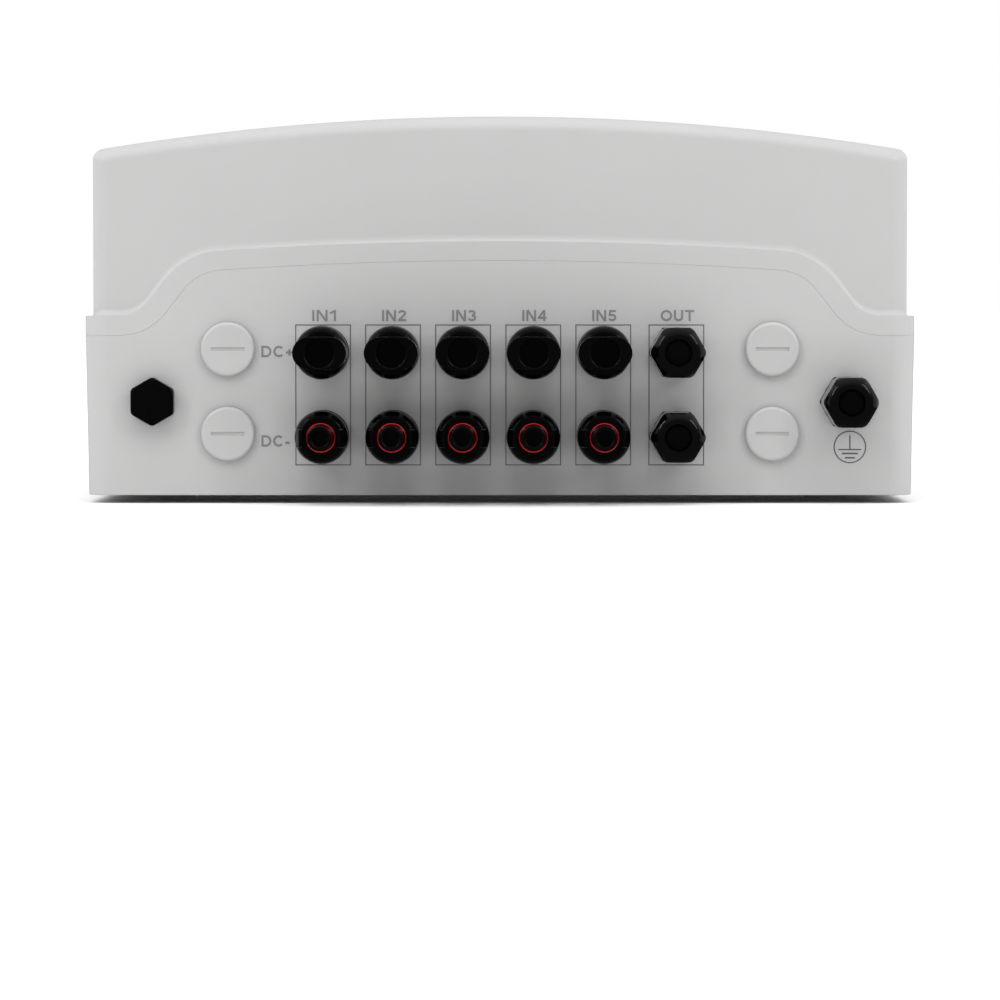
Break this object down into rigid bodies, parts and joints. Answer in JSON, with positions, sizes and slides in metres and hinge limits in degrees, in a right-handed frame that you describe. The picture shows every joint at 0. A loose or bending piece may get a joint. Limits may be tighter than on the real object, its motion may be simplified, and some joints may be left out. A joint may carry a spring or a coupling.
{
  "type": "dc combiner box",
  "caption": "Wall-mounted plastic dc combiner box with panel connectors, cable glands, a hinged smoked window, fuse holders and an isolator.",
  "frame": {"origin": "centre of the flat pad on the back, in the plane of the wall", "axes": "-Z into the wall, -Y towards the connector end (down on the wall), +X to the right of a viewer who looks at the connector end with the window side up"},
  "size_m": [0.32, 0.4905, 0.1488],
  "materials": {
    "shell": "fine satin moulded polycarbonate blend, light grey-white",
    "smoked_window": "polished smoke-tinted clear plastic",
    "device_white": "satin moulded plastic",
    "carrier_grey": "satin moulded plastic",
    "black_plastic": "satin black glass-filled nylon",
    "latch_green": "semi-gloss green moulded plastic",
    "rubber": "matt black seal",
    "zinc": "bright zinc-plated steel",
    "copper": "bare copper",
    "brass": "plain brass"
  },
  "bodies": {
    "housing": {"base_box": "shell", "front_cover": "shell", "cover_gasket": "rubber", "window_seal": "rubber", "device_mask": "device_white", "hinge_pin_lower": "zinc", "cover_screw_lower_left": "shell", "cover_screw_lower_right": "shell", "hinge_pin_upper": "zinc", "cover_screw_upper_left": "shell", "cover_screw_upper_right": "shell", "din_rail_lower": "zinc", "blank_strip_lower": "device_white", "din_rail_upper": "zinc", "blank_strip_upper": "device_white", "fuse_holder_1": "device_white", "fuse_carrier_1": "carrier_grey", "pv_plus_1": "black_plastic", "pv_minus_1": "black_plastic", "fuse_holder_2": "device_white", "fuse_carrier_2": "carrier_grey", "pv_plus_2": "black_plastic", "pv_minus_2": "black_plastic", "fuse_holder_3": "device_white", "fuse_carrier_3": "carrier_grey", "pv_plus_3": "black_plastic", "pv_minus_3": "black_plastic", "fuse_holder_4": "device_white", "fuse_carrier_4": "carrier_grey", "pv_plus_4": "black_plastic", "pv_minus_4": "black_plastic", "fuse_holder_5": "device_white", "fuse_carrier_5": "carrier_grey", "pv_plus_5": "black_plastic", "pv_minus_5": "black_plastic", "spd_base": "device_white", "spd_cartridge_1": "carrier_grey", "spd_cartridge_2": "carrier_grey", "spd_cartridge_3": "carrier_grey", "switch_body": "device_white", "busbar_plus": "copper", "busbar_minus": "copper", "earth_bar": "brass", "gland_body_out_plus": "black_plastic", "gland_nut_out_plus": "black_plastic", "gland_body_out_minus": "black_plastic", "gland_nut_out_minus": "black_plastic", "gland_body_earth": "black_plastic", "gland_nut_earth": "black_plastic", "vent_plug": "black_plastic", "blank_plug_left_upper": "shell", "blank_plug_left_lower": "shell", "blank_plug_left_top_end": "shell", "blank_plug_right_upper": "shell", "blank_plug_right_lower": "shell", "blank_plug_right_top_end": "shell"},
    "window": {"window": "smoked_window"},
    "latch_lower": {"latch_lower": "latch_green"},
    "latch_upper": {"latch_upper": "latch_green"},
    "switch_handle": {"switch_handle": "black_plastic"}
  },
  "joints": [
    {"name": "window_hinge", "type": "hinge", "parent": "housing", "child": "window", "pos_m": [-0.1535, 0, 0.1261], "axis": [0, -1, 0], "range_deg": [0, 95]},
    {"name": "latch_lower_slide", "type": "slide", "parent": "window", "child": "latch_lower", "axis": [0, 1, 0], "range_m": [0, 0.01]},
    {"name": "latch_upper_slide", "type": "slide", "parent": "window", "child": "latch_upper", "axis": [0, -1, 0], "range_m": [0, 0.01]},
    {"name": "switch_toggle", "type": "hinge", "parent": "housing", "child": "switch_handle", "pos_m": [-0.018, 0.0625, 0.0976], "axis": [-1, 0, 0], "range_deg": [0, 72]}
  ]
}
